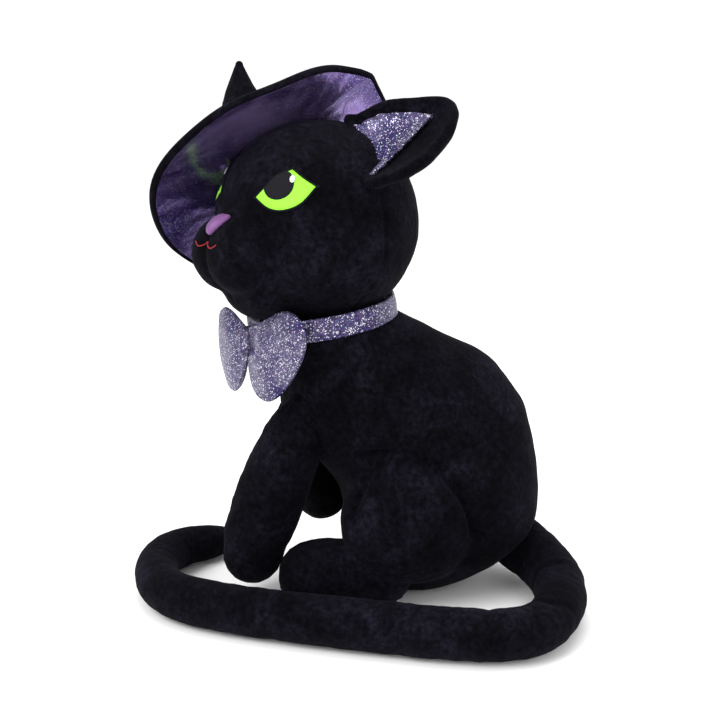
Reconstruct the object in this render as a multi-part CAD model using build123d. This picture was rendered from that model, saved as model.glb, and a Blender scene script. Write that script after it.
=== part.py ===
"""Seated plush cat with a tilted pointed hat, a bow collar and a long curled tail.

Millimetres. +Z is up, the cat faces -Y and its left side is +X. The origin is the middle of the flat seat
panel. Every stuffed piece is a cloth skin with its own filling; pieces that move are RUN apart.
"""

import os
from math import asin, cos, radians, sin, sqrt

from build123d import *

os.makedirs("parts", exist_ok=True)

# ---- cloth and clearances
PILE = 1.6  # short pile cloth of every black skin
FOIL = 0.8  # glitter and foil cloth
RUN = 0.5  # gap between pieces that move past each other
EAR_GAP = 2.4  # fold allowance under the ear
SWING_STEP = 0.15  # widening of the shoulder pockets at each step of the swing

# ---- head, in its own frame facing -Y, turned and placed by HEAD
HEAD_C = (0, -82, 269)
HEAD_R = 71
HEAD_YAW = 33
MUZZLE = (0, -66, -18)
MUZZLE_R, MUZZLE_HALF = 27, 34  # radius fore and aft, half width
CHIN = (0, -45, -35)
CHIN_R = 27
NOSE = (0, -79.5, 5)
NOSE_R, NOSE_HALF = 6.5, 8.5
MOUTH = [(-11, -12.5), (-4, -15), (0, -12), (4, -15), (11, -12.5)]
THREAD_R = 0.7
# outline of one eye as azimuth and elevation in degrees from the head's centre
EYE = [(17, 19), (21.5, 26), (29, 33.5), (38, 36.5), (46, 32.5), (53, 26.5), (44.5, 17), (33, 13.7), (23, 16)]
EYE_MIDDLE = (34, 26)
PUPIL_AT, PUPIL_R = (30, 27.7), 9.5
GLINT_AT, GLINT_HALF = (38.3, 30.4), (1.4, 2.1)

# ---- left ear: top and lower base corners and a point near its tip, in the head's frame
EAR_A, EAR_B, EAR_T = Vector(18, 20, 69), Vector(65, -2, 35), Vector(82, 50, 84)
EAR_THICK = 12
# outlines in the ear's own plane, from the middle of its base: along the base and up
EAR_EDGE = [(31, -8), (44, 6), (47, 21), (40, 41), (26, 57), (10, 65.5), (-2, 66), (-12, 60), (-23, 44), (-32, 25),
            (-33, 4), (-31, -8)]
EAR_LINING = [(-24, -8), (-25, 17), (-13, 36), (0, 50), (14, 26), (26, 4), (27, -8)]

# ---- hat, on an axis through the head's centre that leans to the cat's right
HAT_LEAN = 53.8
HAT_SEAT = 55.5  # head centre to the brim's underside
BRIM_R = 96
BRIM_SHIFT = -3
BRIM_DROP = 4
BRIM_FOAM = 3.2
BRIM_EDGE = 3.0
# crown and tip stations: offset across, offset back, height above the head's centre, radius
CROWN = [(0, 0, 62, 50), (0, 0, 80, 38.5), (1, 0, 100, 27.5), (5, 1, 118, 18)]
TIP = [(5, 1, 118, 18), (12, 2.2, 130, 12), (19, 3.4, 139, 7), (25, 4.5, 146, 3)]

# ---- torso stations: middle Y, middle Z, half length, half width, tilt of the section
TORSO = [
    (0, 0, 43, 37, 0),
    (3, 10, 56, 49, 0),
    (6, 26, 66, 58, 0),
    (8, 48, 72, 63, 0),
    (6, 76, 74.5, 64, 0),
    (-5, 102, 83, 61, 0),
    (-18, 122, 90, 58, 0),
    (-24.5, 142, 87, 55, 0),
    (-37.5, 165, 75.5, 51, 5),
    (-59, 181, 60, 48, 7),
    (-77.5, 196.5, 49, 48.8, 9),
    (-80, 210, 48, 48, 9),
]
POUCH = (0, 0, 30)
POUCH_R, POUCH_HALF = 38, 20

# ---- hind legs: haunch centre, heel and toe ball centres
HAUNCH_R, HAUNCH_HALF = 50, 30
FOOT_R = 25
HIND = {
    "left": ((47, -20, 61), (42, -48, 25), (44, -87, 25)),
    "right": ((-47, 10, 61), (-42, -12, 25), (-46, -38, 25)),
}

# ---- front legs: shoulder ball centre, paw ball centre and how far each swings forward
SHOULDER_R, PAW_R = 20.5, 22
FRONT = {
    "left": ((24, -98, 122), (24, -130, 36), 28),
    "right": ((-24, -95, 120), (-50, -78, 52), 40),
}

# ---- tail stations X, Y, Z, radius; the tail rests on the floor, and its joints are at the shared stations
TAIL_ROOT = [(0, 66, 27, 21), (22, 77, 23, 20), (50, 83, 19.5, 18.8), (80, 80, 17.8, 17.8), (107, 68, 17, 17),
             (126, 50, 17, 17), (131, 25, 17, 17)]
TAIL_RUN = [(131, 25, 17, 17), (125, -8, 17, 17), (106, -68, 17, 17), (83, -131, 16.8, 16.5),
            (63, -170, 16.6, 16.2)]
TAIL_END = [(63, -170, 16.6, 16.2), (47, -188, 16.3, 16), (25, -199, 16.1, 15.8), (-4, -202, 15.9, 15.6),
            (-28, -195, 15.6, 15.2), (-42, -183, 15, 14.6), (-50, -169, 14, 13.6), (-59, -157, 12, 11.6)]

# ---- collar and bow
COLLAR_C = (0, -79, 204.2)
COLLAR_R, COLLAR_H, COLLAR_TILT = 50.6, 15, 9
COLLAR_T = 1.8
BOW_YAW = 38
FAR_YAW = 22  # the far lobe lies back round the neck
KNOT_C = (20, -132, 190)
KNOT = (11, 13, 21)
KNOT_ROUND = 4
KNOT_GAP = 1.8  # room beside the knot for the lobes to fold
LOBE_T = 9
# lobe outline from the knot, across and up
LOBE = [(4, 8), (14, 12), (28, 22), (44, 28), (58, 24), (63, 13), (60, 0), (50, -15), (38, -28), (26, -38),
        (17, -41), (8, -36), (3, -25), (2, -14), (4, -6)]
LOBE_FAR = [(4, 8), (14, 11), (27, 15), (40, 18), (50, 12), (54, 0), (53, -14), (48, -28), (40, -39), (31, -43),
            (22, -41), (13, -33), (6, -23), (4, -10)]

HEAD = Location(HEAD_C, (0, 0, HEAD_YAW))
HAT = HEAD * Rot(0, -HAT_LEAN, 0)


def ball(centre, radius):
    return Pos(*centre[:3]) * Sphere(radius)


def pillow(radius, half):
    """Round cushion on the Z axis with a full, soft edge."""
    block = Cylinder(radius, 2 * half)
    return fillet(block.edges().filter_by(GeomType.CIRCLE), half * 0.9)


def cut(body, *tools):
    for tool in tools:
        body = body - tool
    return body


def dome(centre, facing, radius):
    return Plane(centre, z_dir=facing) * Sphere(radius, arc_size1=0, align=None)


def tube(stations, inset=0.0, grow_end=True):
    """Round tube through the stations, with a ball at its start and, if asked, at its end."""
    points = [Vector(*s[:3]) for s in stations]
    last = len(points) - 1
    rings = []
    for i, point in enumerate(points):
        along = points[min(i + 1, last)] - points[max(i - 1, 0)]
        up = Vector(0, 0, 1) if abs(along.Z) < abs(along.X) + abs(along.Y) else Vector(0, 1, 0)
        rings.append(Plane(point, x_dir=up.cross(along), z_dir=along) * Circle(stations[i][3] - inset))
    body = loft(rings) + dome(points[0], points[0] - points[1], stations[0][3] - inset)
    return body + dome(points[-1], points[-1] - points[-2], stations[-1][3] - inset) if grow_end else body


def pill(centre, radius, half):
    """Rounded bar across X; half is half of its whole width."""
    x, y, z = centre
    return tube([(x - half + radius, y, z, radius), (x + half - radius, y, z, radius)])


def limb(start, start_r, end, end_r, inset=0.0):
    """Two balls joined by the cone that touches both."""
    a, b = Vector(*start), Vector(*end)
    along = (b - a).normalized()
    lean = asin((start_r - end_r) / (b - a).length)
    r0, r1 = start_r - inset, end_r - inset
    rings = [
        Plane(p + along * (r * sin(lean)), z_dir=along) * Circle(r * cos(lean)) for p, r in ((a, r0), (b, r1))
    ]
    return loft(rings) + ball(start, r0) + ball(end, r1)


def swung(solid, pivot, angle):
    """A solid turned forwards about a crosswise axis through pivot."""
    return Pos(*pivot) * Rot(-angle, 0, 0) * Pos(*(-v for v in pivot)) * solid


def torso(inset=0.0):
    """Body outline, moved in by inset, with the pockets of the head, front legs and tail moved out by it."""
    rings = []
    for i, (y, z, length, width, tilt) in enumerate(TORSO):
        lift = inset * (1 if i == 0 else -1 if i == len(TORSO) - 1 else 0)
        plane = Plane((0, y, z + lift), x_dir=(1, 0, 0), z_dir=(0, -sin(radians(tilt)), cos(radians(tilt))))
        rings.append(plane * Ellipse(width - inset, length - inset))
    body = loft(rings)
    out = RUN + inset
    body = cut(body, ball(HEAD_C, HEAD_R + out), tube(TAIL_ROOT[:4], -out, False))
    for shoulder, paw, reach in FRONT.values():
        for step in range(3):
            leg = limb(shoulder, SHOULDER_R, paw, PAW_R, -out - SWING_STEP * step)
            body = body - swung(leg, shoulder, reach * step / 2)
    return body


def haunch(side, inset=0.0):
    return Pos(*HIND[side][0]) * Rot(0, 90, 0) * pillow(HAUNCH_R - inset, HAUNCH_HALF - inset)


def foot(side, inset=0.0):
    _, heel, toe = HIND[side]
    return limb(heel, FOOT_R, toe, FOOT_R, inset)


def stuffed(name, outer, inner):
    """A cloth skin and the filling that it holds."""
    return {f"{name}_skin": outer - inner, f"{name}_stuffing": inner}


parts = {}

# ---- torso, seat panel and weighted pouch
body = torso()
filling = torso(PILE)
slab = Pos(0, 0, PILE / 2) * Box(300, 300, PILE)
pouch = Pos(*POUCH) * pillow(POUCH_R, POUCH_HALF)
pellets = Pos(*POUCH) * pillow(POUCH_R - FOIL, POUCH_HALF - FOIL)
parts["seat_panel"] = body & slab
parts["torso_skin"] = cut(body, filling, slab)
parts["torso_stuffing"] = filling - pouch
parts["pellet_pouch"] = pouch - pellets
parts["pellet_fill"] = pellets

# ---- hind legs
body_in = torso(-PILE)
for side in HIND:
    outer = haunch(side) - body
    inner = haunch(side, PILE) - body_in
    parts |= stuffed(f"haunch_{side}", outer, inner)
    outer = cut(foot(side), body, haunch(side))
    inner = cut(foot(side, PILE), body_in, haunch(side, -PILE))
    parts |= stuffed(f"hind_foot_{side}", outer, inner)

# ---- front legs
for side, (shoulder, paw, _) in FRONT.items():
    parts |= stuffed(
        f"front_leg_{side}",
        limb(shoulder, SHOULDER_R, paw, PAW_R),
        limb(shoulder, SHOULDER_R, paw, PAW_R, PILE),
    )

# ---- tail
next_ball = {"root": TAIL_RUN[0], "run": TAIL_END[0]}
for name, stations in (("root", TAIL_ROOT), ("run", TAIL_RUN), ("end", TAIL_END)):
    outer = tube(stations, 0, name == "end")
    inner = tube(stations, PILE, name == "end")
    if name in next_ball:
        outer = outer - ball(next_ball[name], next_ball[name][3] + RUN)
        inner = inner - ball(next_ball[name], next_ball[name][3] + RUN + PILE)
    parts |= stuffed(f"tail_{name}", outer, inner)

# ---- head and muzzle
parts |= stuffed("head", HEAD * Sphere(HEAD_R), HEAD * Sphere(HEAD_R - PILE))
snout = pill(MUZZLE, MUZZLE_R, MUZZLE_HALF) + ball(CHIN, CHIN_R)
snout_in = pill(MUZZLE, MUZZLE_R - PILE, MUZZLE_HALF - PILE) + ball(CHIN, CHIN_R - PILE)
parts |= stuffed("muzzle", HEAD * (snout - Sphere(HEAD_R)), HEAD * (snout_in - Sphere(HEAD_R + PILE)))
nose = pill(NOSE, NOSE_R, NOSE_HALF)
parts["nose"] = HEAD * (nose - snout)


def on_muzzle(x, z, out):
    past = max(abs(x) - MUZZLE_HALF + MUZZLE_R, 0)
    return (x, MUZZLE[1] - sqrt((MUZZLE_R + out) ** 2 - past**2 - (z - MUZZLE[2]) ** 2), z)


lip = Spline([on_muzzle(x, z, THREAD_R / 2) for x, z in MOUTH])
thread = sweep(Plane(lip @ 0, z_dir=lip % 0) * Circle(THREAD_R), path=lip)
parts["mouth_stitch"] = HEAD * (thread - snout)


# ---- eyes: cloth patches on the head's surface
def aim(azimuth, elevation, side=1):
    a, e = radians(azimuth), radians(elevation)
    return Vector(side * sin(a) * cos(e), -cos(a) * cos(e), sin(e))


def patch(outline, low, high):
    """The layer between two radii under an outline."""
    return (extrude(outline, HEAD_R + 20) & Sphere(HEAD_R + high)) - Sphere(HEAD_R + low)


for side, sign in (("left", 1), ("right", -1)):
    middle = Plane((0, 0, 0), x_dir=(0, 0, 1), z_dir=aim(*EYE_MIDDLE, sign))
    flat = [middle.to_local_coords(aim(a, e, sign) * HEAD_R) for a, e in EYE]
    rim = Polyline(*((p.X, p.Y) for p in flat), close=True)
    almond = middle * make_face(rim)
    pupil_at = middle.to_local_coords(aim(*PUPIL_AT, sign) * HEAD_R)
    glint_at = middle.to_local_coords(aim(*GLINT_AT, sign) * HEAD_R)
    disc = middle * (make_face(rim) & Pos(pupil_at.X, pupil_at.Y) * Circle(PUPIL_R))
    spot = middle * Pos(glint_at.X, glint_at.Y) * Ellipse(GLINT_HALF[1], GLINT_HALF[0])
    parts[f"eye_{side}_iris"] = HEAD * patch(almond, 0, FOIL)
    parts[f"eye_{side}_pupil"] = HEAD * patch(disc, FOIL, 1.5 * FOIL)
    parts[f"eye_{side}_glint"] = HEAD * patch(spot, 1.5 * FOIL, 2 * FOIL)

# ---- left ear
base = EAR_B - EAR_A
facing = base.cross(EAR_T - EAR_A).normalized()
ear_plane = Plane((EAR_A + EAR_B) * 0.5, x_dir=base, z_dir=facing)
ear_face = make_face(Polyline(*EAR_EDGE, close=True))
ear_block = ear_plane * extrude(ear_face, -EAR_THICK)
ear_core = ear_plane * Pos(0, 0, -PILE) * extrude(offset(ear_face, -PILE), 2 * PILE - EAR_THICK)
ear_front = ear_plane * extrude(make_face(Polyline(*EAR_LINING, close=True)), FOIL)
under = Sphere(HEAD_R + EAR_GAP)
parts["ear_left_skin"] = HEAD * cut(ear_block, ear_core, under)
parts["ear_left_batting"] = HEAD * (ear_core - Sphere(HEAD_R + EAR_GAP + PILE))
parts["ear_left_lining"] = HEAD * (ear_front - Sphere(HEAD_R + EAR_GAP + PILE))


# ---- hat
def brim(r0, r1, z0, z1):
    """Ring of the brim between two radii and two heights above its underside, drooping outwards."""
    d0, d1 = (BRIM_DROP * (r - 40) / (BRIM_R - 40) for r in (r0, r1))
    corners = [(r0, z0 - d0), (r1, z0 - d1), (r1, z1 - d1), (r0, z1 - d0)]
    ring = make_face(Polyline(*((r, 0, HAT_SEAT + z) for r, z in corners), close=True))
    return Pos(BRIM_SHIFT, 0, 0) * revolve(ring, Axis.Z) - Sphere(HEAD_R + FOIL)


brim_in = BRIM_R - BRIM_EDGE
foam_top = FOIL + BRIM_FOAM
parts["brim_lining"] = HAT * brim(30, brim_in, 0, FOIL)
parts["brim_foam"] = HAT * brim(30, brim_in, FOIL, foam_top)
parts["brim_top"] = HAT * (brim(30, BRIM_R, 0, foam_top + PILE) - brim(20, brim_in, -2, foam_top))
tip_ball = TIP[0]
crown = tube(CROWN, 0, False) - Pos(0, 0, CROWN[0][2] - 60) * Box(120, 120, 120)
crown_in = tube(CROWN, PILE, False) - Pos(0, 0, CROWN[0][2] - 60) * Box(120, 120, 120)
parts["hat_crown_skin"] = HAT * cut(crown, crown_in, ball(tip_ball, tip_ball[3] + RUN))
parts["hat_crown_stuffing"] = HAT * cut(crown_in, ball(tip_ball, tip_ball[3] + RUN + PILE), Sphere(HEAD_R))
parts |= stuffed("hat_tip", HAT * tube(TIP), HAT * tube(TIP, PILE))

# ---- collar and bow
ring = Location(COLLAR_C, (COLLAR_TILT, 0, 0))
parts["collar_band"] = ring * (Cylinder(COLLAR_R + COLLAR_T, COLLAR_H) - Cylinder(COLLAR_R, COLLAR_H))


def upright(yaw):
    """Upright plane through the knot, turned by yaw from facing -Y."""
    a = radians(yaw)
    return Plane(KNOT_C, x_dir=(cos(a), sin(a), 0), z_dir=(sin(a), -cos(a), 0))


bow = upright(BOW_YAW)
knot = bow * extrude(RectangleRounded(KNOT[0], KNOT[2], KNOT_ROUND), KNOT[1] / 2, both=True)
fold_room = bow * Box(KNOT[0] + 2 * KNOT_GAP, KNOT[2] + 4, KNOT[1] + 4)
parts["bow_knot"] = cut(knot, ring * Cylinder(COLLAR_R + COLLAR_T, 60), body)
around = (ring * Cylinder(COLLAR_R + COLLAR_T + RUN, 60), torso(-RUN), fold_room)
for side, sign, edge, yaw in (("left", 1, LOBE, BOW_YAW), ("right", -1, LOBE_FAR, FAR_YAW)):
    flat = make_face(Polyline(*((sign * x, y) for x, y in edge), close=True))
    lobe = upright(yaw) * extrude(flat, LOBE_T / 2, both=True)
    core = upright(yaw) * extrude(offset(flat, -FOIL), LOBE_T / 2 - FOIL, both=True)
    parts[f"bow_{side}_cloth"] = cut(lobe, core, *around)
    parts[f"bow_{side}_batting"] = cut(core, *around)

for node, shape in parts.items():
    solids = shape.solids()
    whole = solids[0] if len(solids) == 1 else Compound(solids)
    whole.label = node
    export_step(whole, f"parts/{node}.step")
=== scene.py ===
"""Plush cat with a tilted hat and a bow collar: soft pieces, cloths and a plain studio."""

from math import atan2, cos, exp, pi, radians, sin, sqrt

import bmesh
import bpy
from bpy.props import FloatProperty, FloatVectorProperty, PointerProperty
from mathutils import Matrix, Vector, noise
from mathutils.bvhtree import BVHTree


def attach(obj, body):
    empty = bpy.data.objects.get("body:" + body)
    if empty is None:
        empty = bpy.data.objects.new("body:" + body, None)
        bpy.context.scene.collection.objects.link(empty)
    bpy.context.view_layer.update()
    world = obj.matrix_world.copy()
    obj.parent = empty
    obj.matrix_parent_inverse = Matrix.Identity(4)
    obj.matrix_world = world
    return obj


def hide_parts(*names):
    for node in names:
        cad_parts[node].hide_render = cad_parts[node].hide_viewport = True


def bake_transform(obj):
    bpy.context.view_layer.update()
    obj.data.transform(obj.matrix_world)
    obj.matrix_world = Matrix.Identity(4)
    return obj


bl_info = {
    "name": "Plush Cat Workshop",
    "version": (1, 0, 0),
    "blender": (4, 5, 0),
    "location": "View3D > Sidebar > Plush Cat",
    "description": "Builds the stuffed pieces, cloths and stage of a seated plush cat",
    "category": "Add Mesh",
}

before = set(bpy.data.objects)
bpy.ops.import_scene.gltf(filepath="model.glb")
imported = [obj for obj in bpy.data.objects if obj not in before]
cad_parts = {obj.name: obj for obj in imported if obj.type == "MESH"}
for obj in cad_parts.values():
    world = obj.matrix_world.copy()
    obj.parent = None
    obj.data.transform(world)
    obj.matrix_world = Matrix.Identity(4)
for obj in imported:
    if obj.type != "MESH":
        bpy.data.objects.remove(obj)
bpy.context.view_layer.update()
MM = 0.001

# ---- places shared with the frame, in millimetres
HEAD_C, HEAD_R, HEAD_YAW = (0, -82, 269), 71, 33
HAT_LEAN, HAT_SEAT = 53.8, 55.5
HEAD = Matrix.Translation(HEAD_C) @ Matrix.Rotation(radians(HEAD_YAW), 4, "Z")
HAT = HEAD @ Matrix.Rotation(radians(-HAT_LEAN), 4, "Y")
KNOT_C = (20, -132, 190)
COLLAR = Matrix.Translation((0, -79, 204.2)) @ Matrix.Rotation(radians(9), 4, "X")
# stations of the hoses: X, Y, Z, radius
TAIL_NEAR = [(0, 66, 27, 21), (22, 77, 23, 20), (50, 83, 19.5, 18.8), (80, 80, 17.8, 17.8), (107, 68, 17, 17),
             (126, 50, 17, 17), (131, 25, 17, 17), (125, -8, 17, 17), (115, -40, 17, 17)]
TAIL_FAR = [(115, -40, 17, 17), (106, -68, 17, 17), (83, -131, 16.8, 16.5), (63, -170, 16.6, 16.2),
            (47, -188, 16.3, 16), (25, -199, 16.1, 15.8), (-4, -202, 15.9, 15.6), (-28, -195, 15.6, 15.2),
            (-42, -183, 15, 14.6), (-50, -169, 14, 13.6), (-59, -158, 12, 11.4)]
# torso stations: middle Y, middle Z, half length, half width, tilt of the section
TORSO = [(-15, 0.6, 27, 23, 0), (-12, 5, 37, 33, 0), (-7, 13, 47, 43, 0), (-0.5, 26, 59.5, 53, 0),
         (6.5, 46, 70.5, 61, 0), (6, 76, 73.5, 64, 0),
         (-5.5, 102, 82, 61, 0), (-18, 122, 90, 58, 0), (-23.5, 142, 88, 55, 0), (-36.5, 165, 77, 51, 5),
         (-57.5, 181, 62, 48, 7), (-76.5, 196.5, 50, 48.5, 9), (-80, 208, 47.5, 47.5, 9)]
LEGS = {
    "left": [(24, -92, 140, 15), (24, -98, 126, 20.5), (24, -107, 106, 23.5), (24, -115, 86, 24.8),
             (24, -122, 66, 25), (24, -128, 50, 23.6), (24, -131.5, 35, 21.5)],
    "right": [(-22, -86, 136, 15), (-24, -92, 120, 20), (-32, -87, 96, 21.5), (-41, -83, 74, 21.5),
              (-50, -78, 52.5, 20.5)],
}
HIND_FEET = {"left": ((42, -44, 25), (44, -89, 25)), "right": ((-42, -12, 25), (-46, -38, 25))}
CROWN = [(0, 0, 60, 50), (0, 0, 68, 44.5), (0, 0, 80, 38.5), (1, 0, 100, 27.5), (5, 1, 118, 18),
         (12, 2.2, 130, 12), (19, 3.4, 139, 7), (25, 4.5, 146, 3)]
# where the soft brim reaches past its circle: direction, how far, how wide
BRIM_SHAPE = [(270, 7, 22), (335, -7.5, 22), (214, -2, 14), (24, 3.5, 7), (45, -2, 10)]
CHEEK_SEAM = [(20, 12, 68), (46, 8, 53), (63, 4, 33), (71, 4, 3), (68, 5, -21), (59, -1, -40), (44, -4, -56)]
# outline of one eye, azimuth and elevation in degrees from the head's centre
EYE = [(17.8, 18.6), (17.8, 18.8), (22.5, 24.5), (29, 31.5), (38.6, 35.5), (38.8, 35.5), (46, 30.6),
       (54, 25.5), (54, 25.3), (45.5, 16.4), (36, 12.6), (27, 13.4)]
EYE_MIDDLE, PUPIL_AT, GLINT_AT = (34, 26), (31.2, 26.6), (39.6, 29.4)
PUPIL_R, GLINT_HALF = 10.6, (1.7, 2.5)
# lower corners of the ear and a point near its tip, in the head's frame
EAR_A, EAR_B, EAR_T = Vector((18, 20, 69)), Vector((65, -2, 35)), Vector((82, 50, 84))
BOW_YAW, FAR_YAW = 38, 22
# outlines of the lobes, across and up from the knot
LOBE = [(1, 8), (13, 14), (28, 22.5), (43, 27), (56, 24), (62, 13), (60, 0), (52, -14), (41, -27), (28, -37),
        (16, -39.5), (7, -33), (2, -21), (0, -6)]
LOBE_FAR = [(1, 8), (13, 11.5), (27, 15.5), (40, 17), (50, 12), (54, 0), (53, -14), (48, -28),
            (40, -39), (30, -43), (19, -39), (9, -29), (3, -17), (0, -4)]
# outlines of the ear and its lining in the ear's own plane
EAR_EDGE = [(31, -8), (41.5, 6), (44, 21), (38, 40), (25, 55.5), (12, 64.5), (-2, 66), (-12, 60),
            (-23, 44), (-32, 25), (-33, 4), (-31, -8)]
EAR_LINING = [(-24, -8), (-24, 4), (-24, 17), (-13, 36), (-0.5, 49), (0.5, 49), (8, 36), (15, 24),
              (26, 4), (27, -8), (2, -10)]


# ---- mesh helpers
def bvh(piece):
    """Search tree of a piece's faces, in metres."""
    points = [v.co for v in piece.data.vertices]
    return BVHTree.FromPolygons(points, [tuple(p.vertices) for p in piece.data.polygons])


def make(name, verts, faces, material, smooth=True):
    """New object from points in millimetres, its place in its mesh."""
    mesh = bpy.data.meshes.new(name)
    mesh.from_pydata([Vector(v) * MM for v in verts], [], faces)
    piece = bpy.data.objects.new(name, mesh)
    bpy.context.scene.collection.objects.link(piece)
    return dress(piece, material, smooth)


def dress(piece, material, smooth=True):
    """Gives a piece its material and smooth or flat shading."""
    piece.data.materials.clear()
    piece.data.materials.append(material)
    piece.data.polygons.foreach_set("use_smooth", [smooth] * len(piece.data.polygons))
    piece.data.update()
    return piece


def only(piece):
    """Selects one piece alone."""
    bpy.ops.object.select_all(action="DESELECT")
    bpy.context.view_layer.objects.active = piece
    piece.select_set(True)


def modify(piece, kind, **settings):
    """Adds a modifier to a piece and applies it."""
    only(piece)
    made = piece.modifiers.new(kind.title(), kind)
    for key, value in settings.items():
        setattr(made, key, value)
    bpy.ops.object.modifier_apply(modifier=made.name)
    return piece


def outwards(piece):
    """Merges doubled points and turns every face outwards."""
    mesh = bmesh.new()
    mesh.from_mesh(piece.data)
    bmesh.ops.remove_doubles(mesh, verts=mesh.verts, dist=1e-6)
    bmesh.ops.recalc_face_normals(mesh, faces=mesh.faces)
    mesh.to_mesh(piece.data)
    mesh.free()
    return piece


def rings_mesh(rings):
    """Points and faces of a closed shell through rings of equal length, its two ends closed by fans."""
    count = len(rings[0])
    verts = [v for ring in rings for v in ring]
    faces = [
        (r * count + i, r * count + (i + 1) % count, (r + 1) * count + (i + 1) % count, (r + 1) * count + i)
        for r in range(len(rings) - 1)
        for i in range(count)
    ]
    for start, turn in ((0, -1), ((len(rings) - 1) * count, 1)):
        middle = len(verts)
        verts.append(sum((Vector(v) for v in verts[start : start + count]), Vector()) / count)
        fan = [(start + i, start + (i + 1) % count, middle) for i in range(count)]
        faces += fan if turn > 0 else [f[::-1] for f in fan]
    return verts, faces


def between(a, b, c, d, t):
    """Catmull-Rom point at share t of the way from b to c."""
    return 0.5 * (2 * b + (c - a) * t + (2 * a - 5 * b + 4 * c - d) * t**2 + (3 * b - a - 3 * c + d) * t**3)


def hoop_mesh(rings):
    """Points and faces of a closed hoop: rings of equal length, the last joined to the first."""
    count, total = len(rings[0]), len(rings)
    verts = [v for ring in rings for v in ring]
    faces = []
    for r in range(total):
        here, there = r * count, (r + 1) % total * count
        for i in range(count):
            beside = (i + 1) % count
            faces.append((here + i, here + beside, there + beside, there + i))
    return verts, faces


def smooth_line(points, steps):
    """Catmull-Rom line through points of any width, open."""
    line = []
    for i in range(len(points) - 1):
        a, b, c, d = (Vector(points[min(max(i + k, 0), len(points) - 1)]) for k in (-1, 0, 1, 2))
        line += [between(a, b, c, d, k / steps) for k in range(steps)]
    return line + [Vector(points[-1])]


def smooth_loop(points, count):
    """Closed Catmull-Rom outline with count points."""
    points, line = list(points), []
    size = len(points)
    for i in range(count):
        u = i * size / count
        k, t = int(u), u - int(u)
        a, b, c, d = (Vector(points[(k + j) % size]) for j in (-1, 0, 1, 2))
        line.append(between(a, b, c, d, t))
    return line


def hose(name, stations, material, sides=28, steps=9, place=Matrix(), wrinkle=0.0, caps=(True, True)):
    """Stuffed tube through stations X, Y, Z, radius, with round ends and small creases across it."""
    line = smooth_line([tuple(s) for s in stations], steps)
    centres, radii = [Vector(p[:3]) for p in line], [p[3] for p in line]
    for end, here, there in ((0, 0, 1), (1, -1, -2)):
        if caps[end]:
            out, r = (centres[here] - centres[there]).normalized(), radii[here]
            angles = (0.35, 0.7, 1.0, 1.25, 1.45)
            dome = [(centres[here] + out * r * sin(a), max(r * cos(a), 0.05)) for a in angles]
            if end:
                centres, radii = centres + [d[0] for d in dome], radii + [d[1] for d in dome]
            else:
                centres, radii = [d[0] for d in dome[::-1]] + centres, [d[1] for d in dome[::-1]] + radii
    rings, side = [], None
    for i, centre in enumerate(centres):
        along = (centres[min(i + 1, len(centres) - 1)] - centres[max(i - 1, 0)]).normalized()
        if side is None:
            side = along.orthogonal().normalized()
        side = (side - along * side.dot(along)).normalized()
        other = along.cross(side)
        ring = []
        for k in range(sides):
            a = 2 * pi * k / sides
            out = side * cos(a) + other * sin(a)
            crease = noise.noise(centre * 0.09 + out * 0.8) + 0.5 * noise.noise(centre * 0.25 + out * 1.1)
            ring.append(place @ (centre + out * radii[i] * (1 + wrinkle * crease)))
        rings.append(ring)
    return outwards(make(name, *rings_mesh(rings), material))


def puff(name, outline, levels, place, material, count=72):
    """Closed cushion over an outline: levels are (share of the outline's size, height) from back to front."""
    loop = smooth_loop(outline, count)
    middle = sum(loop, Vector((0, 0))) / count
    rings = [[place(*(middle + (p - middle) * share), height) for p in loop] for share, height in levels]
    return outwards(make(name, *rings_mesh(rings), material))


def egg(centre, radii, rings=24, sides=40):
    """Points and faces of an ellipsoid."""
    rows = []
    for i in range(1, rings):
        a = pi * i / rings
        across, along, up = (radii[0] * sin(a), radii[1] * sin(a), radii[2] * cos(a))
        turns = (2 * pi * k / sides for k in range(sides))
        rows.append([Vector(centre) + Vector((across * cos(b), along * sin(b), up)) for b in turns])
    return rings_mesh(rows)


def merged(*meshes):
    """Points and faces of several meshes as one."""
    verts, faces = [], []
    for more_verts, more_faces in meshes:
        start = len(verts)
        verts += list(more_verts)
        faces += [tuple(start + i for i in f) for f in more_faces]
    return verts, faces


def stuffed(name, mesh, material, voxel=4.0, smooth=4, swell=0.0, fine=True):
    """One sewn skin over joined forms: remeshed, swollen like a filled cushion where asked, and smoothed."""
    piece = make(name, *mesh, material)
    modify(piece, "REMESH", mode="VOXEL", voxel_size=voxel * MM)
    if swell:
        rest = [v.co.copy() for v in piece.data.vertices]
        only(piece)
        cloth = piece.modifiers.new("Cloth", "CLOTH")
        cloth.settings.use_pressure = True
        cloth.settings.uniform_pressure_force = 4
        cloth.settings.effector_weights.gravity = 0
        cloth.point_cache.frame_start, cloth.point_cache.frame_end = 1, 20
        for step in range(1, 21):
            bpy.context.scene.frame_set(step)
        bpy.ops.object.modifier_apply(modifier=cloth.name)
        bpy.context.scene.frame_set(1)
        for vertex, old in zip(piece.data.vertices, rest):
            move = vertex.co - old
            if move.length > swell * MM:
                vertex.co = old + move.normalized() * swell * MM
    modify(piece, "SMOOTH", factor=0.5, iterations=smooth)
    if fine:
        modify(piece, "SUBSURF", levels=1, render_levels=1)
    return dress(piece, material)


def shift(piece, move):
    """Moves each point of a piece by move(point, normal), in millimetres."""
    normals = [v.normal.copy() for v in piece.data.vertices]
    for vertex, normal in zip(piece.data.vertices, normals):
        vertex.co += move(vertex.co / MM, normal) * MM
    piece.data.update()
    return piece


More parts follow.
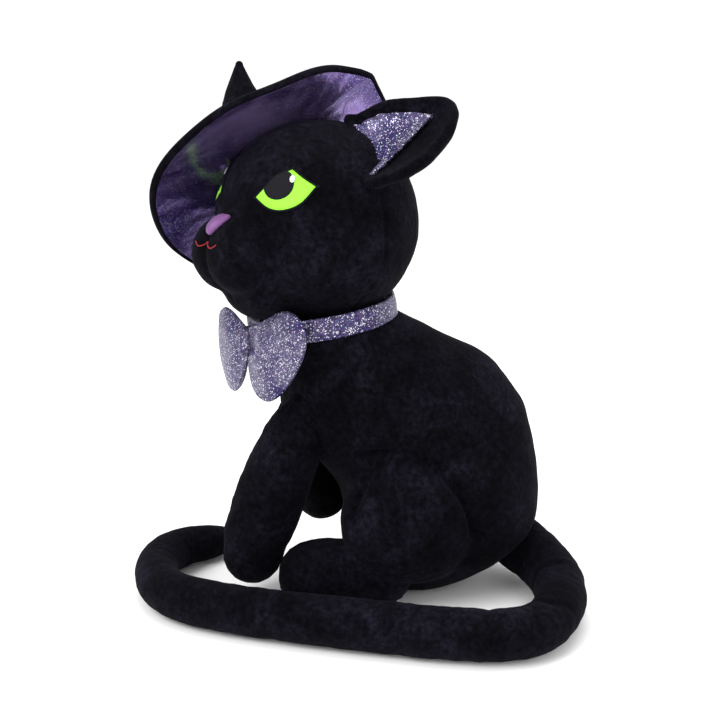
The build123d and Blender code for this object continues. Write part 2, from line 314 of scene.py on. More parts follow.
def pinch(points, depth, width):
    """A sewn crease along a line of points: a move for shift()."""
    line = [Vector(p) for p in points]

    def move(co, normal):
        near = 1e9
        for a, b in zip(line, line[1:]):
            t = min(max((co - a).dot(b - a) / (b - a).length_squared, 0), 1)
            near = min(near, (co - a - (b - a) * t).length)
        return normal * -depth * exp(-((near / width) ** 2))

    return move


def sew(piece, points, depth, width):
    """Sews a crease into a piece along its surface nearest to the points."""
    skin = bvh(piece)
    line = [skin.find_nearest(Vector(p) * MM)[0] / MM for p in smooth_line(points, 5)]
    return shift(piece, pinch(line, depth, width))


def ripple(amount, scale):
    """Soft unevenness of filling under cloth: a move for shift()."""
    return lambda co, normal: normal * amount * (noise.noise(co / scale) + 0.4 * noise.noise(co / scale * 2.7))


# ---- materials
def tree(name):
    """New material with its nodes, links, shader and object coordinates."""
    material = bpy.data.materials.new(name)
    material.use_nodes = True
    nodes = material.node_tree.nodes
    shader = nodes["Principled BSDF"]
    return material, nodes, material.node_tree.links, shader, nodes.new("ShaderNodeTexCoord").outputs["Object"]


def texture(nodes, links, source, kind, scale, **settings):
    """Texture node of a kind at a scale, on the source's coordinates."""
    made = nodes.new(kind)
    for key, value in settings.items():
        if key in made.inputs:
            made.inputs[key].default_value = value
        else:
            setattr(made, key, value)
    made.inputs["Scale"].default_value = scale
    links.new(source, made.inputs["Vector"])
    return made


def ramp(nodes, links, source, stops):
    """Colour ramp through stops of place and colour."""
    made = nodes.new("ShaderNodeValToRGB")
    elements = made.color_ramp.elements
    while len(elements) < len(stops):
        elements.new(0.5)
    for element, (place, colour) in zip(elements, stops):
        element.position, element.color = place, (*colour, 1)
    links.new(source, made.inputs["Fac"])
    return made.outputs["Color"]


def bump(nodes, links, shader, source, strength, distance, under=None):
    """Bump from a height, on top of another bump where one is given."""
    made = nodes.new("ShaderNodeBump")
    made.inputs["Strength"].default_value, made.inputs["Distance"].default_value = strength, distance
    links.new(source, made.inputs["Height"])
    if under:
        links.new(under, made.inputs["Normal"])
    links.new(made.outputs["Normal"], shader.inputs["Normal"])
    return made.outputs["Normal"]


def pile_cloth(name, colour):
    """Short dense pile: brushed patches, flecks where the pile parts, a faint sheen and a fine nap."""
    material, nodes, links, shader, co = tree(name)
    base = Vector(colour)
    brushed = texture(nodes, links, co, "ShaderNodeTexNoise", 26, Detail=4.0, Roughness=0.6, Distortion=0.8)
    flecks = texture(nodes, links, co, "ShaderNodeTexNoise", 260, Detail=3.0, Roughness=0.65)
    broad = ramp(nodes, links, brushed.outputs["Fac"], [(0.36, base * 0.45), (0.5, base), (0.68, base * 2.3)])
    greys = [(0.34, (0.35,) * 3), (0.52, (1.0,) * 3), (0.72, (1.9,) * 3)]
    fine = ramp(nodes, links, flecks.outputs["Fac"], greys)
    both = nodes.new("ShaderNodeMix")
    both.data_type, both.blend_type = "RGBA", "MULTIPLY"
    both.inputs["Factor"].default_value = 1.0
    links.new(broad, both.inputs["A"])
    links.new(fine, both.inputs["B"])
    links.new(both.outputs["Result"], shader.inputs["Base Color"])
    shader.inputs["Roughness"].default_value = 0.95
    shader.inputs["Specular IOR Level"].default_value = 0.04
    shader.inputs["Sheen Weight"].default_value = 0.014
    shader.inputs["Sheen Roughness"].default_value = 0.5
    shader.inputs["Sheen Tint"].default_value = (0.55, 0.52, 0.8, 1)
    nap = texture(nodes, links, co, "ShaderNodeTexNoise", 1100, Detail=2.0, Roughness=0.6)
    soft = bump(nodes, links, shader, brushed.outputs["Fac"], 0.4, 0.005)
    soft = bump(nodes, links, shader, flecks.outputs["Fac"], 0.5, 0.0012, soft)
    bump(nodes, links, shader, nap.outputs["Fac"], 0.6, 0.0005, soft)
    return material


def foil_cloth(name, dark, light):
    """Smooth foil-faced lining: broad drifts from violet to lilac, fine prism grain and a few hot sparks."""
    material, nodes, links, shader, co = tree(name)
    drift = texture(nodes, links, co, "ShaderNodeTexNoise", 11, Detail=5.0, Roughness=0.62, Distortion=1.4)
    dark, light = Vector(dark), Vector(light)
    stops = [(0.33, dark), (0.47, dark.lerp(light, 0.3)), (0.6, light)]
    body = ramp(nodes, links, drift.outputs["Fac"], stops)
    tinted = flaked(nodes, links, co, body, 0.35, (0.42, 0.58), (0.6, 1.5), 0.985)
    links.new(tinted, shader.inputs["Base Color"])
    shader.inputs["Metallic"].default_value = 0.85
    shader.inputs["Roughness"].default_value = 0.27
    crumple = texture(nodes, links, co, "ShaderNodeTexNoise", 60, Detail=3.0, Roughness=0.55, Distortion=0.5)
    bump(nodes, links, shader, crumple.outputs["Fac"], 0.25, 0.0025)
    return material


def glitter_cloth(name, dark, light):
    """Glitter-faced cloth: silver and gold grains crowded over a violet ground, thicker in patches."""
    material, nodes, links, shader, co = tree(name)
    dark, light = Vector(dark), Vector(light)
    patches = texture(nodes, links, co, "ShaderNodeTexNoise", 42, Detail=2.0, Distortion=0.8)
    stops = [(0.36, dark), (0.52, dark.lerp(light, 0.45)), (0.68, light)]
    body = ramp(nodes, links, patches.outputs["Fac"], stops)
    tinted = flaked(nodes, links, co, body, 0.6, (0.42, 0.56), (0.2, 2.4), 0.93)
    links.new(tinted, shader.inputs["Base Color"])
    shader.inputs["Metallic"].default_value = 0.6
    shader.inputs["Roughness"].default_value = 0.38
    grain = texture(nodes, links, co, "ShaderNodeTexVoronoi", 1 / (0.42 * MM))
    bump(nodes, links, shader, grain.outputs["Color"], 0.6, 0.0004)
    return material


def flaked(nodes, links, co, body, cell, hues, values, rare):
    """Body colour broken into cells that each shift its hue and value; the rarest cells flash silver."""
    flakes = texture(nodes, links, co, "ShaderNodeTexVoronoi", 1 / (cell * MM))
    part = nodes.new("ShaderNodeSeparateColor")
    links.new(flakes.outputs["Color"], part.inputs["Color"])
    tint = nodes.new("ShaderNodeHueSaturation")
    links.new(body, tint.inputs["Color"])
    for channel, socket, (low, high) in (("Red", "Hue", hues), ("Green", "Value", values)):
        spread = nodes.new("ShaderNodeMapRange")
        spread.inputs["To Min"].default_value, spread.inputs["To Max"].default_value = low, high
        links.new(part.outputs[channel], spread.inputs["Value"])
        links.new(spread.outputs["Result"], tint.inputs[socket])
    gate = nodes.new("ShaderNodeMapRange")
    gate.inputs["From Min"].default_value, gate.inputs["From Max"].default_value = rare - 0.03, rare
    links.new(part.outputs["Blue"], gate.inputs["Value"])
    spark = nodes.new("ShaderNodeMix")
    spark.data_type = "RGBA"
    links.new(gate.outputs["Result"], spark.inputs["Factor"])
    links.new(tint.outputs["Color"], spark.inputs["A"])
    spark.inputs["B"].default_value = (0.72, 0.7, 0.78, 1)
    return spark.outputs["Result"]


def stitched(name, colour, rough=0.5, scale=900.0, sheen=0.1, shine=0.5):
    """Dense satin stitch or thread."""
    material, nodes, links, shader, co = tree(name)
    strands = texture(nodes, links, co, "ShaderNodeTexWave", scale, Distortion=2.0, Detail=1.0)
    base = Vector(colour)
    tint = ramp(nodes, links, strands.outputs["Fac"], [(0.1, base * 0.78), (0.8, base)])
    links.new(tint, shader.inputs["Base Color"])
    shader.inputs["Roughness"].default_value = rough
    shader.inputs["Sheen Weight"].default_value = sheen
    shader.inputs["Specular IOR Level"].default_value = shine
    bump(nodes, links, shader, strands.outputs["Fac"], 0.35, 0.0003)
    return material


def finishes():
    """All materials, made once."""
    if "Black pile" not in bpy.data.materials:
        look = bpy.context.scene.plush_look
        pile_cloth("Black pile", look.pile)
        foil_cloth("Foil lining", look.foil_dark, look.foil_light)
        glitter_cloth("Glitter cloth", look.glitter_dark, look.glitter)
        stitched("Green satin stitch", look.iris)
        stitched("Charcoal satin stitch", (0.005, 0.005, 0.008), 0.7, sheen=0.0, shine=0.12)
        stitched("White satin stitch", (0.8, 0.8, 0.82))
        stitched("Red thread", (0.25, 0.003, 0.008), 0.7, shine=0.2)
        stitched("Black thread", (0.004, 0.004, 0.006), 0.8, sheen=0.0, shine=0.1)
        stitched("Nose satin", look.nose, 0.35, 700)
    return bpy.data.materials


class PlushSizes(bpy.types.PropertyGroup):
    """Sizes that shape the soft pieces."""

    brim: FloatProperty(
        name="Brim radius", description="Middle of the hat to the brim's edge", default=94.4 * MM, unit="LENGTH"
    )
    swell: FloatProperty(
        name="Swell", description="Most that filling pushes the cloth out", default=2.2 * MM, unit="LENGTH"
    )
    crease: FloatProperty(
        name="Crease", description="Depth of the sewn creases", default=3.0 * MM, unit="LENGTH"
    )


class PlushLook(bpy.types.PropertyGroup):
    """Colours of the cloths and stitches."""

    pile: FloatVectorProperty(
        name="Pile", description="Black pile cloth", subtype="COLOR", default=(0.0027, 0.0024, 0.0043)
    )
    foil_dark: FloatVectorProperty(
        name="Foil shade", description="Dark of the foil lining", subtype="COLOR", default=(0.022, 0.006, 0.1)
    )
    foil_light: FloatVectorProperty(
        name="Foil light", description="Light of the foil lining", subtype="COLOR", default=(0.34, 0.24, 0.56)
    )
    glitter_dark: FloatVectorProperty(
        name="Glitter shade",
        description="Ground of the collar, bow and ear cloth",
        subtype="COLOR",
        default=(0.014, 0.005, 0.06),
    )
    glitter: FloatVectorProperty(
        name="Glitter",
        description="Bright patches of the collar, bow and ear cloth",
        subtype="COLOR",
        default=(0.085, 0.07, 0.125),
    )
    iris: FloatVectorProperty(
        name="Iris", description="Green of the eyes", subtype="COLOR", default=(0.26, 0.82, 0.012)
    )
    nose: FloatVectorProperty(
        name="Nose", description="Nose satin", subtype="COLOR", default=(0.15, 0.045, 0.19)
    )


class PLUSH_OT_torso(bpy.types.Operator):
    """Torso with its haunches and hind feet"""

    bl_idname = "plush.torso"
    bl_label = "Torso and hind legs"

    def execute(self, context):
        look, size = finishes(), context.scene.plush_sizes
        swell, deep = size.swell / MM, size.crease / MM
        rings = []
        for y, z, length, width, tilt in smooth_line([tuple(t) for t in TORSO], 5):
            lean = Vector((0, cos(radians(tilt)), sin(radians(tilt))))
            turns = (2 * pi * k / 72 for k in range(72))
            rings.append([Vector((width * cos(a), y, z)) + lean * length * sin(a) for a in turns])
        forms = [rings_mesh(rings)]
        for haunch in ((46, -21, 66), (-46, 9, 64)):
            forms.append(egg(haunch, (32, 50, 49.5)))
        torso = stuffed("torso_body", merged(*forms), look["Black pile"], 3.6, 7, swell)
        shift(torso, ripple(1.0, 30))
        for side, back in ((1, 0), (-1, 30)):
            arc = [(-71, 68), (-69, 100), (-52, 115), (-24, 119), (-2, 107), (15, 82), (27, 55)]
            sew(torso, [(side * 66, y + back, z) for y, z in arc], deep * 2.0, 3.4)
            knee = ((-48, 88), (-44, 74), (-34, 70))
            thigh = ((-22, 92), (-24, 78), (-36, 70))
            sew(torso, [(side * 70, y + back, z) for y, z in knee], deep * 0.4, 3.5)
            sew(torso, [(side * 72, y + back, z) for y, z in thigh], deep * 0.3, 3.5)
            sew(torso, [(side * 50, y, z) for y, z in ((40, 118), (52, 104), (62, 96))], deep * 0.35, 3)
        head_at, clear = Vector(HEAD_C), HEAD_R + 0.6

        def neck(co, normal):
            away = co - head_at
            return away.normalized() * (clear - away.length) if away.length < clear else Vector()

        shift(torso, neck)
        shift(torso, lambda co, n: Vector((0, 0, max(0.4 - co.z, 0))))
        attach(torso, "torso")
        covers = ["torso_skin", "torso_stuffing", "pellet_pouch", "pellet_fill", "seat_panel"]
        covers += [f"haunch_{side}_{layer}" for side in ("left", "right") for layer in ("skin", "stuffing")]
        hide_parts(*covers)
        for side, (heel, toe) in HIND_FEET.items():
            start, end = Vector(heel), Vector(toe)
            stations = [(*start.lerp(end, t), r) for t, r in ((0, 25.5), (0.4, 25), (0.75, 25.4), (1, 25))]
            foot = hose(f"hind_foot_{side}_body", stations, look["Black pile"], 40, 10, wrinkle=0.02)
            shift(foot, lambda co, n: Vector((0, 0, 0.35 * max(7 - co.z, 0))))
            toes = [(end.x, end.y - 26, 22), (end.x, end.y - 12, 46), (end.x, end.y + 8, 52)]
            sew(foot, toes, deep * 0.3, 2.5)
            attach(foot, "torso")
            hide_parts(f"hind_foot_{side}_skin", f"hind_foot_{side}_stuffing")
        return {"FINISHED"}


class PLUSH_OT_legs(bpy.types.Operator):
    """Front legs, gathered where they are sewn to the chest"""

    bl_idname = "plush.legs"
    bl_label = "Front legs"

    def execute(self, context):
        look = finishes()
        for side, stations in LEGS.items():
            leg = hose(f"front_leg_{side}_body", stations, look["Black pile"], 48, 9, wrinkle=0.025)
            a, b = (Vector(stations[k][:3]) for k in (0, -1))
            lean = (b - a).normalized()

            def gather(co, normal, a=a, lean=lean):
                down = (co - a).dot(lean)
                around = atan2((co - a).x, (co - a).cross(lean).x)
                return normal * 1.3 * sin(around * 13 + 2 * noise.noise(co / 9)) * exp(-((down - 12) / 16) ** 2)

            shift(leg, gather)
            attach(leg, f"front_leg_{side}")
            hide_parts(f"front_leg_{side}_skin", f"front_leg_{side}_stuffing")
        return {"FINISHED"}


class PLUSH_OT_tail(bpy.types.Operator):
    """Long tail in two lengths that meet at a seam"""

    bl_idname = "plush.tail"
    bl_label = "Tail"

    def execute(self, context):
        look = finishes()
        near = hose("tail_near_body", TAIL_NEAR, look["Black pile"], 32, 14, wrinkle=0.04, caps=(True, False))
        far = hose("tail_far_body", TAIL_FAR, look["Black pile"], 32, 14, wrinkle=0.035, caps=(False, True))
        shift(near, pinch([(118, 78, 30), (122, 62, 36), (112, 54, 30)], 2.4, 3))
        shift(near, pinch([(150, 22, 20), (131, 20, 36), (113, 22, 20)], 1.8, 3))
        shift(near, pinch([(66, 98, 22), (64, 82, 38), (62, 66, 22)], 2.0, 3))
        for piece, pair, at, turn in (
            (near, ("tail_root", "tail_run"), Vector((131, 25, 17)), Vector((0, -1, 0))),
            (far, ("tail_run", "tail_end"), Vector((63, -170, 16.6)), Vector((-0.6, -0.8, 0))),
        ):
            shift(piece, lambda co, n: Vector((0, 0, max(0.2 - co.z, 0))))
            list(pair)
            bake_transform(piece)
        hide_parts("tail_root_skin", "tail_root_stuffing", "tail_run_skin", "tail_run_stuffing")
        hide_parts("tail_end_skin", "tail_end_stuffing")
        return {"FINISHED"}


class PLUSH_OT_head(bpy.types.Operator):
    """Head with its muzzle, nose and stitched mouth"""

    bl_idname = "plush.head"
    bl_label = "Head"

    def execute(self, context):
        look, size = finishes(), context.scene.plush_sizes
        deep = size.crease / MM
        forms = [
            egg((0, 0, 0), (71, 71, 70.5)),
            egg((9, -65.5, -16.5), (25.5, 26.5, 26)),
            egg((-9, -65.5, -16.5), (25.5, 26.5, 26)),
            egg((0, -70, -4), (14, 17, 14)),
            egg((0, -45, -37), (31, 28, 26)),
        ]
        verts, faces = merged(*forms)
        head = stuffed("head_body", ([HEAD @ Vector(v) for v in verts], faces), look["Black pile"], 3.2, 4)
        for side in (1, -1):
            for line, depth, width in (
                (CHEEK_SEAM, 0.45, 1.6),
                ([(55, -38, 25), (63, -19, 28), (66, 4, 26)], 0.3, 1.6),
                ([(60, -37, 9), (62, -35, -5)], 0.7, 4),
                ([(27, -68, 10), (33, -65, 0), (36, -64, -14), (34, -62, -28), (22, -66, -44)], 0.9, 3.6),
            ):
                sew(head, [HEAD @ Vector((side * x, y, z)) for x, y, z in line], deep * depth, width)
        chin = ((0, -97, 2), (0, -95, -14), (0, -90, -32), (0, -75, -48))
        sew(head, [HEAD @ Vector(p) for p in chin], deep * 0.3, 2)
        shift(head, ripple(0.7, 26))
        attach(head, "head")
        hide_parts("head_skin", "head_stuffing", "muzzle_skin", "muzzle_stuffing")
        tree_of = bvh(head)

        def on_face(x, z, lift):
            """Point on the head's front over x and z of its own frame."""
            start, way = HEAD @ Vector((x, -140, z)), HEAD.to_3x3() @ Vector((0, 1, 0))
            hit, normal = tree_of.ray_cast(start * MM, way)[:2]
            return hit / MM + normal * lift

        shape = [(0, 6.4), (4.2, 6.2), (6.4, 3.4), (5.4, -0.8), (2.6, -4.4), (0, -5.4), (-2.6, -4.4), (-5.4, -0.8),
                 (-6.4, 3.4), (-4.2, 6.2)]
        levels = [(0.3, -1.5), (0.9, -1.5), (1, -0.2), (0.99, 0.7), (0.94, 1.5), (0.8, 2.2), (0.5, 2.7), (0.2, 2.8)]
        nose = puff("nose_patch", shape, levels, lambda x, y, h: on_face(x, y + 3.6, h), look["Nose satin"], 48)
        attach(nose, "head")
        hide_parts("nose")
        mouth = [(-12.5, -7), (-9, -9), (-6, -9.3), (-2, -8), (0, -6.2), (2, -8), (6, -9.3), (9, -9), (12.5, -7)]
        line = [on_face(p.x, p.y, 0.35) for p in smooth_line(mouth, 6)]
        lips = hose("mouth_thread", [(*p, 0.4) for p in line[::2]], look["Red thread"], 8, 3)
        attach(lips, "head")
        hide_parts("mouth_stitch")
        return {"FINISHED"}


def aim(azimuth, elevation, side=1):
    """Direction from the head's centre in its own frame, mirrored by side -1."""
    a, e = radians(azimuth), radians(elevation)
    return Vector((side * sin(a) * cos(e), -cos(a) * cos(e), sin(e)))


class PLUSH_OT_eyes(bpy.types.Operator):
    """Embroidered eyes: iris, pupil, glint and dark outline"""

    bl_idname = "plush.eyes"
    bl_label = "Eyes"

    def execute(self, context):
        look = finishes()
        tree_of = bvh(bpy.data.objects["head_body"])
        for side, sign in (("left", 1), ("right", -1)):
            middle = aim(*EYE_MIDDLE, sign)
            across = Vector((0, 0, 1)).cross(middle).normalized()
            upward = middle.cross(across)

            def flat(azimuth, elevation):
                way = aim(azimuth, elevation, sign) * HEAD_R
                return Vector((way.dot(across), way.dot(upward)))

            def place(x, y, h):
                way = HEAD.to_3x3() @ (across * x + upward * y + middle * sqrt(HEAD_R**2 - x * x - y * y))
                hit, normal = tree_of.ray_cast((HEAD.translation + way * 1.4) * MM, -way)[:2]
                return hit / MM + normal * h

            rim = [flat(*p) for p in EYE]
            pad = [(0.2, -1), (0.97, -1), (1, 0), (0.99, 0.45), (0.96, 0.75), (0.85, 0.9), (0.6, 0.95), (0.3, 0.95)]
            iris = puff(f"eye_{side}_green", rim, pad, place, look["Green satin stitch"], 96)
            loop = smooth_loop(rim, 64)
            middle_of = sum(loop, Vector((0, 0))) / 64
            at = flat(*PUPIL_AT)
            ring = []
            for k in range(40):
                a = 2 * pi * k / 40
                p = at + Vector((cos(a), sin(a))) * PUPIL_R
                best = min(loop, key=lambda q: abs(atan2(*(p - middle_of).yx) - atan2(*(q - middle_of).yx)))
                limit = (best - middle_of).length * 0.97
                out = p - middle_of
                ring.append(middle_of + out.normalized() * min(out.length, limit))
            top = [(0.2, 0.5), (0.97, 0.5), (1, 0.9), (0.98, 1.3), (0.9, 1.5), (0.5, 1.55), (0.2, 1.55)]
            pupil = puff(f"eye_{side}_dark", ring, top, place, look["Charcoal satin stitch"], 48)
            spot = flat(*GLINT_AT)
            wide, high = GLINT_HALF
            oval = [spot + Vector((wide * cos(a), high * sin(a))) for a in (2 * pi * k / 12 for k in range(12))]
            raised = [(s, h + 0.7) for s, h in top]
            glint = puff(f"eye_{side}_light", oval, raised, place, look["White satin stitch"], 24)
            outline = [place(*p, 0.45) for p in smooth_loop(rim, 96)]
            outline.append(outline[0])
            edge = hose(f"eye_{side}_outline", [(*p, 0.75) for p in outline], look["Black thread"], 8, 2)
            for piece in (iris, pupil, glint, edge):
                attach(piece, "head")
            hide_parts(f"eye_{side}_iris")
            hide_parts(f"eye_{side}_pupil")
            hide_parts(f"eye_{side}_glint")
        return {"FINISHED"}


class PLUSH_OT_ear(bpy.types.Operator):
    """Left ear: padded shell with a gathered glitter lining"""

    bl_idname = "plush.ear"
    bl_label = "Left ear"

    def execute(self, context):
        look = finishes()
        base = EAR_B - EAR_A
        facing = base.cross(EAR_T - EAR_A).normalized()
        right = base.normalized()
        up = facing.cross(right)
        origin = (EAR_A + EAR_B) * 0.5

        def place(x, y, h):
            curl = 5 * ((x - 4) / 36) ** 2 * (1 - y / 90)
            return HEAD @ (origin + right * x + up * y + facing * (h + curl - 2))

        shell = [(0.2, -12.5), (0.5, -12), (0.75, -10.5), (0.92, -7.5), (0.99, -4), (1, -1), (0.97, 1.4),
                 (0.9, 2.2), (0.84, 1.2), (0.8, -1), (0.5, -3.2), (0.2, -3.6)]
        ear = puff("ear_left_body", EAR_EDGE, shell, place, look["Black pile"], 96)
        shift(ear, ripple(0.5, 14))
        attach(ear, "ear_left")
        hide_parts("ear_left_skin", "ear_left_batting")
        sheet = [(0.2, -4.5), (0.95, -2.0), (1, 0.6), (0.97, 0.9), (0.8, -0.3), (0.5, -1.8), (0.2, -2.2)]

        def gathered(x, y, h):
            gathers = 0.7 * sin(atan2(y + 12, x) * 26) * exp(-((y - 4) / 26) ** 2)
            return place(x, y, h + (gathers if h > -1.9 else 0))

        lining = puff("ear_left_lining_cloth", EAR_LINING, sheet, gathered, look["Glitter cloth"], 120)
        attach(lining, "ear_left")
        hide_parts("ear_left_lining")
        return {"FINISHED"}


def turned(a, degrees):
    """How far angle a lies past a direction, both round the hat, in degrees from -180 to 180."""
    return (a * 180 / pi - degrees + 180) % 360 - 180


class PLUSH_OT_hat(bpy.types.Operator):
    """Hat: soft brim with a foil lining, and a bent pointed crown"""

    bl_idname = "plush.hat"
    bl_label = "Hat"

    def execute(self, context):
        look, size = finishes(), context.scene.plush_sizes
        radius = size.brim / MM

        def surface(r, a, lift):
            """Brim surface at a radius and angle, lift above its underside."""
            share = (r - 36) / (radius - 36)
            reach = sum(d * exp(-((turned(a, at) / wide) ** 2)) for at, d, wide in BRIM_SHAPE)
            out = r + reach * share
            lumps = noise.noise(Vector((cos(a) * 1.7, sin(a) * 1.7, r / 45)))
            wave = 1.2 * sin(3 * a + 0.6) * share**2 + 1.8 * lumps
            fold = -5 * exp(-abs(turned(a, 5 + 18 * share)) / 9) * share
            band = -1.3 * exp(-(((r - 49) / 1.8) ** 2)) if lift < 2 else 0
            sag = 4 * (r - 40) / (radius - 40)
            height = HAT_SEAT + lift - sag + wave * share + fold + band
            return HAT @ Vector((out * cos(a) - 3, out * sin(a), height))

        sides = 128
        angles = [2 * pi * k / sides for k in range(sides)]
        under, over = (36, 45, 55, 65, 75, 84, 90, 93.4), (93.6, 90, 84, 75, 65, 55, 45, 38)
        edge = [(94.6, -0.5), (96, 0.9), (96.6, 3), (95.8, 5.2)]
        profile = [(r * radius / 96, 0.9) for r in under]
        profile += [(r * radius / 96, lift) for r, lift in edge]
        profile += [(r * radius / 96, 5.9) for r in over]
        rings = [[surface(r, a, h) for a in angles] for r, h in profile]
        brim = outwards(make("hat_brim", *hoop_mesh(rings), look["Black pile"]))
        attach(brim, "head")
        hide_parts("brim_top", "brim_foam")
        steps = [r * radius / 96 for r in (37, 42, 48, 54, 60, 66, 72, 78, 84, 89, 93.2)]

        def crinkle(a, r):
            return 0.7 * noise.noise(Vector((cos(a) * 9, sin(a) * 9, r / 9))) * (1 if 40 < r < 91 else 0)

        cloth = [[surface(r, a, 0.35 + crinkle(a, r)) for a in angles] for r in steps]
        verts = [v for ring in cloth for v in ring]
        faces = [
            (r * sides + i, (r + 1) * sides + i, (r + 1) * sides + (i + 1) % sides, r * sides + (i + 1) % sides)
            for r in range(len(cloth) - 1)
            for i in range(sides)
        ]
        lining = make("hat_lining", verts, faces, look["Foil lining"])
        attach(lining, "head")
        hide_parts("brim_lining")
        crown = hose("hat_crown", CROWN, look["Black pile"], 48, 8, HAT, wrinkle=0.035, caps=(False, True))
        bend = HAT @ Vector((5, 1, 118))
        along = (HAT.to_3x3() @ Vector((0.25, 0.05, 1))).normalized()
        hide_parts("hat_crown_skin", "hat_crown_stuffing", "hat_tip_skin", "hat_tip_stuffing")
        start, end = (bend - along * 12) * MM, (bend + along * 8) * MM
        tuple(start)
        tuple(end)
        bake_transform(crown)
        return {"FINISHED"}


def upright(yaw):
    """Frame of an upright cloth at the knot, turned by yaw: across, up, out."""
    return Matrix.Translation(KNOT_C) @ Matrix.Rotation(radians(yaw), 4, "Z") @ Matrix.Rotation(pi / 2, 4, "X")


class PLUSH_OT_collar(bpy.types.Operator):
    """Glitter collar with its bow"""

    bl_idname = "plush.collar"
    bl_label = "Collar and bow"

    def execute(self, context):
        look = finishes()
        sides = 160
        profile = [(50.7, -7.4), (51.9, -7.9), (52.9, -7.2), (53.0, -5.6), (52.7, -5.0), (53.1, -4.2), (53.3, 0),
                   (53.1, 4.2), (52.7, 5.0), (53.0, 5.6), (52.9, 7.2), (51.9, 7.9), (50.7, 7.4)]
        rings = []
        for r, z in profile:
            ring = []
            for k in range(sides):
                a = 2 * pi * k / sides
                uneven = 0.5 * noise.noise(Vector((cos(a) * 4, sin(a) * 4, z / 14)))
                ring.append(COLLAR @ Vector(((r + uneven) * cos(a), (r + uneven) * sin(a), z)))
            rings.append(ring)
        band = outwards(make("collar_ribbon", *hoop_mesh(rings), look["Glitter cloth"]))
        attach(band, "torso")
        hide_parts("collar_band")
        body = [(0.15, -4.2), (0.5, -4.4), (0.8, -3.6), (0.95, -2.2), (1, 0), (0.96, 1.6), (0.93, 1.5),
                (0.9, 2.0), (0.75, 3.8), (0.45, 4.9), (0.15, 5.1)]
        for side, sign, shape, yaw in (("left", 1, LOBE, BOW_YAW), ("right", -1, LOBE_FAR, FAR_YAW)):

            def place(x, y, h, at=upright(yaw)):
                fold = 1.1 * sin(atan2(y, abs(x) + 4) * 9) * exp(-((abs(x) - 14) / 12) ** 2)
                fold *= 1 if h > 0.5 else 0.3
                tight = 1 - 0.45 * exp(-((x / 12) ** 2 + (y / 16) ** 2))
                return at @ Vector((x, y, h * tight + fold + 0.5 * noise.noise(Vector((x / 22, y / 22, 0)))))

            outline = [(sign * x, y) for x, y in shape]
            lobe = puff(f"bow_{side}_lobe", outline, body, place, look["Glitter cloth"], 96)
            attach(lobe, f"bow_{side}")
            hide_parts(f"bow_{side}_cloth", f"bow_{side}_batting")
        turns = (2 * pi * k / 16 for k in range(16))
        oval = [(5.4 * cos(a) * (1 + 0.12 * abs(sin(a))), 10.4 * sin(a)) for a in turns]
        knot_levels = [(0.3, -5), (0.85, -5), (1, -3), (1.03, 0), (1, 3), (0.9, 5.4), (0.65, 6.8), (0.3, 7.3)]

        def wrapped(x, y, h):
            return upright(BOW_YAW) @ Vector((x, y, h + 0.5 * sin(x * 1.5) * (1 if h > 2 else 0)))

        knot = puff("bow_knot_cloth", oval, knot_levels, wrapped, look["Glitter cloth"], 64)
        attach(knot, "torso")
        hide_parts("bow_knot")
        return {"FINISHED"}


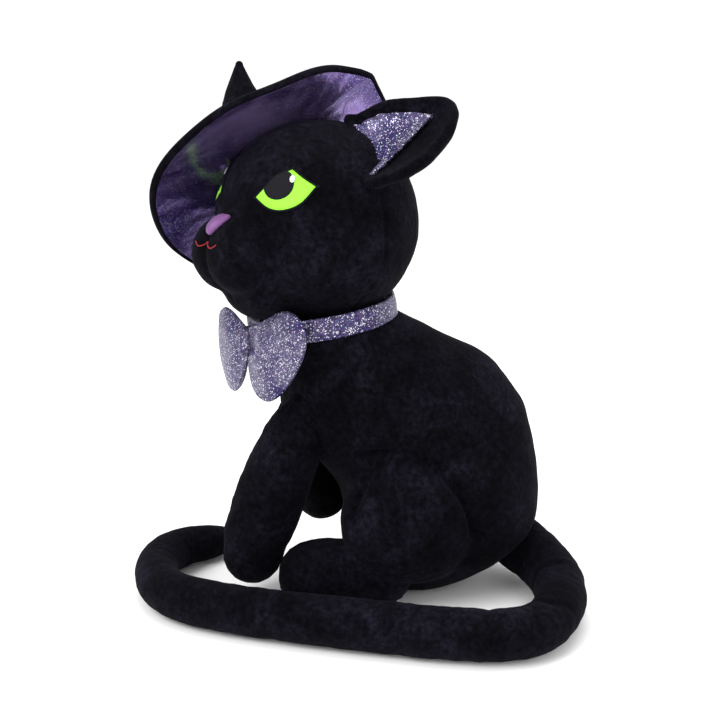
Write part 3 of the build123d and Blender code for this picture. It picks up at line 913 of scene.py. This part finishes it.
class PLUSH_OT_stage(bpy.types.Operator):
    """Pale floor, soft light and camera"""

    bl_idname = "plush.stage"
    bl_label = "Stage"

    def execute(self, context):
        scene = context.scene
        bpy.ops.object.select_all(action="DESELECT")
        bpy.ops.mesh.primitive_plane_add(size=40, location=(0, 0, -0.0006))
        floor = context.object
        floor.name = "studio_floor"
        paper = bpy.data.materials.new("Studio paper")
        paper.use_nodes = True
        shader = paper.node_tree.nodes["Principled BSDF"]
        shader.inputs["Base Color"].default_value = (0.97, 0.97, 0.97, 1)
        shader.inputs["Roughness"].default_value = 0.9
        floor.data.materials.append(paper)
        world = bpy.data.worlds.new("Studio")
        scene.world = world
        world.use_nodes = True
        world.node_tree.nodes["Background"].inputs["Color"].default_value = (1, 1, 1, 1)
        world.node_tree.nodes["Background"].inputs["Strength"].default_value = 1.07
        for name, place, size, power in (
            ("Key", (0.9, -1.3, 1.5), 1.2, 26),
            ("Fill", (1.6, 0.9, 0.9), 1.4, 9),
            ("Top", (-0.2, 0.1, 1.9), 1.4, 14),
        ):
            lamp = bpy.data.lights.new(name, "AREA")
            lamp.shape, lamp.size, lamp.energy = "DISK", size, power
            light = bpy.data.objects.new(name, lamp)
            light.location = place
            light.rotation_euler = (Vector((0, -0.05, 0.2)) - light.location).to_track_quat("-Z", "Y").to_euler()
            scene.collection.objects.link(light)
        scene.view_settings.view_transform = "Standard"
        camera = bpy.data.objects.new("Camera", bpy.data.cameras.new("Camera"))
        camera.data.lens, camera.data.sensor_width = 60, 36
        az = radians(85)
        back, right = Vector((sin(az), -cos(az), 0)), Vector((cos(az), sin(az), 0))
        camera.location = back * 0.84 - right * 0.052 + Vector((0, 0, 0.372))
        camera.rotation_euler = (radians(90 - 13.6), 0, az)
        scene.collection.objects.link(camera)
        scene.camera = camera
        return {"FINISHED"}


STEPS = (PLUSH_OT_torso, PLUSH_OT_legs, PLUSH_OT_tail, PLUSH_OT_head, PLUSH_OT_eyes, PLUSH_OT_ear, PLUSH_OT_hat,
         PLUSH_OT_collar, PLUSH_OT_stage)


class PLUSH_PT_panel(bpy.types.Panel):
    """Sidebar list of the cat's making steps"""

    bl_idname = "PLUSH_PT_panel"
    bl_label = "Plush Cat"
    bl_space_type = "VIEW_3D"
    bl_region_type = "UI"
    bl_category = "Plush Cat"

    def draw(self, context):
        for group in (context.scene.plush_sizes, context.scene.plush_look):
            for key in group.bl_rna.properties.keys():
                if key not in ("rna_type", "name"):
                    self.layout.prop(group, key)
        for step in STEPS:
            self.layout.operator(step.bl_idname)


CLASSES = (PlushSizes, PlushLook, *STEPS, PLUSH_PT_panel)


def register():
    for cls in CLASSES:
        bpy.utils.register_class(cls)
    bpy.types.Scene.plush_sizes = PointerProperty(type=PlushSizes)
    bpy.types.Scene.plush_look = PointerProperty(type=PlushLook)


def unregister():
    del bpy.types.Scene.plush_look, bpy.types.Scene.plush_sizes
    for cls in reversed(CLASSES):
        bpy.utils.unregister_class(cls)


def main():
    for left in ("Cube", "Light", "Camera"):
        if left in bpy.data.objects:
            bpy.data.objects.remove(bpy.data.objects[left])
    register()
    for step in STEPS:
        getattr(bpy.ops.plush, step.bl_idname.split(".")[1])()


if __name__ == "__main__":
    main()
